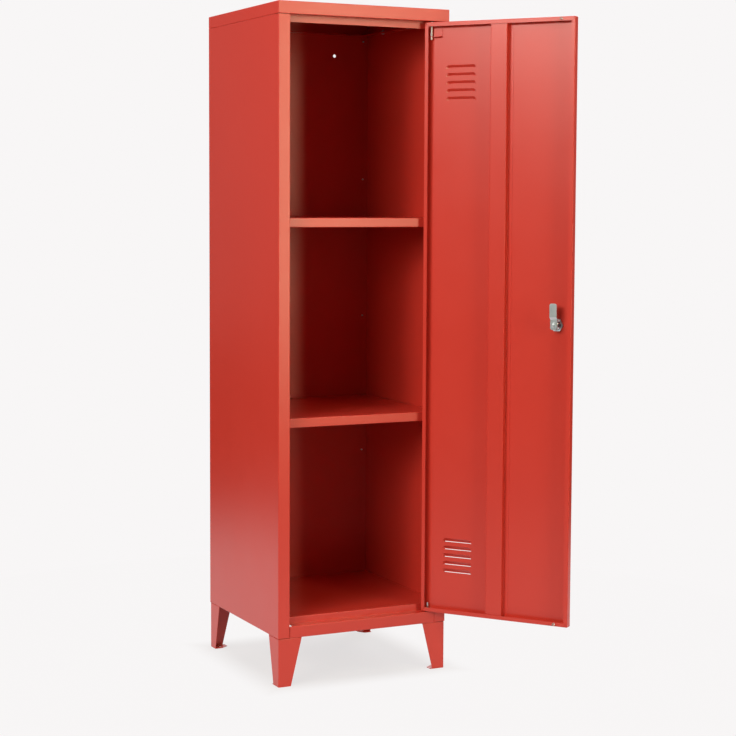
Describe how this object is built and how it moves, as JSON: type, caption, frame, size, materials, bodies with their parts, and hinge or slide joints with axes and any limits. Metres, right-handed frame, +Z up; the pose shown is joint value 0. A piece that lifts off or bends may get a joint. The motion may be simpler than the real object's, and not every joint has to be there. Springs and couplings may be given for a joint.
{
  "type": "single locker",
  "caption": "Tall narrow sheet-steel locker on tapered legs, with fixed shelves and one louvred, cam-locked pan door on pivot pins.",
  "frame": {"origin": "on the ground, at the centre of the four foot holes", "axes": "+Z up, the door opening faces -Y, +X towards the hinge side"},
  "size_m": [0.536, 0.6329, 1.37],
  "materials": {
    "red_powder_coat": "satin red powder coat on steel sheet",
    "zinc_plate": "bright zinc plate",
    "chrome_plate": "chrome plate on zinc casting",
    "black_nylon": "black nylon",
    "clear_rubber": "translucent pale rubber"
  },
  "bodies": {
    "carcass": {"left_side_panel": "red_powder_coat", "right_side_panel": "red_powder_coat", "back_panel": "red_powder_coat", "top_panel": "red_powder_coat", "bottom_panel": "red_powder_coat", "upper_shelf": "red_powder_coat", "lower_shelf": "red_powder_coat", "upper_shelf_brackets": "red_powder_coat", "lower_shelf_brackets": "red_powder_coat", "front_left_leg": "red_powder_coat", "front_right_leg": "red_powder_coat", "rear_left_leg": "red_powder_coat", "rear_right_leg": "red_powder_coat", "shelf_screws": "zinc_plate", "leg_screws": "zinc_plate", "leg_nuts": "zinc_plate", "cap_screws": "zinc_plate", "cap_nuts": "zinc_plate", "back_panel_screws": "zinc_plate", "upper_hinge_bush": "black_nylon", "lower_hinge_bush": "black_nylon"},
    "door": {"door_panel": "red_powder_coat", "door_stiffener": "red_powder_coat", "upper_hinge_bracket": "red_powder_coat", "lower_hinge_pin": "zinc_plate", "lock_housing": "chrome_plate", "lock_nut": "zinc_plate", "door_buffers": "clear_rubber"},
    "lock": {"lock_plug": "chrome_plate", "lock_cam": "zinc_plate", "cam_washer": "zinc_plate", "cam_screw": "zinc_plate"},
    "hinge_pin": {"upper_hinge_pin": "zinc_plate"}
  },
  "joints": [
    {"name": "door_hinge", "type": "hinge", "parent": "carcass", "child": "door", "pos_m": [0.152, -0.1838, 0.7335], "axis": [0, 0, 1], "range_deg": [-127, 0]},
    {"name": "lock_turn", "type": "hinge", "parent": "door", "child": "lock", "pos_m": [0.31991, -0.40662, 0.7335], "axis": [0.7986, 0.6018, 0], "range_deg": [0, 90]},
    {"name": "pin_slide", "type": "slide", "parent": "door", "child": "hinge_pin", "axis": [0, 0, 1], "range_m": [-0.012, 0]}
  ]
}
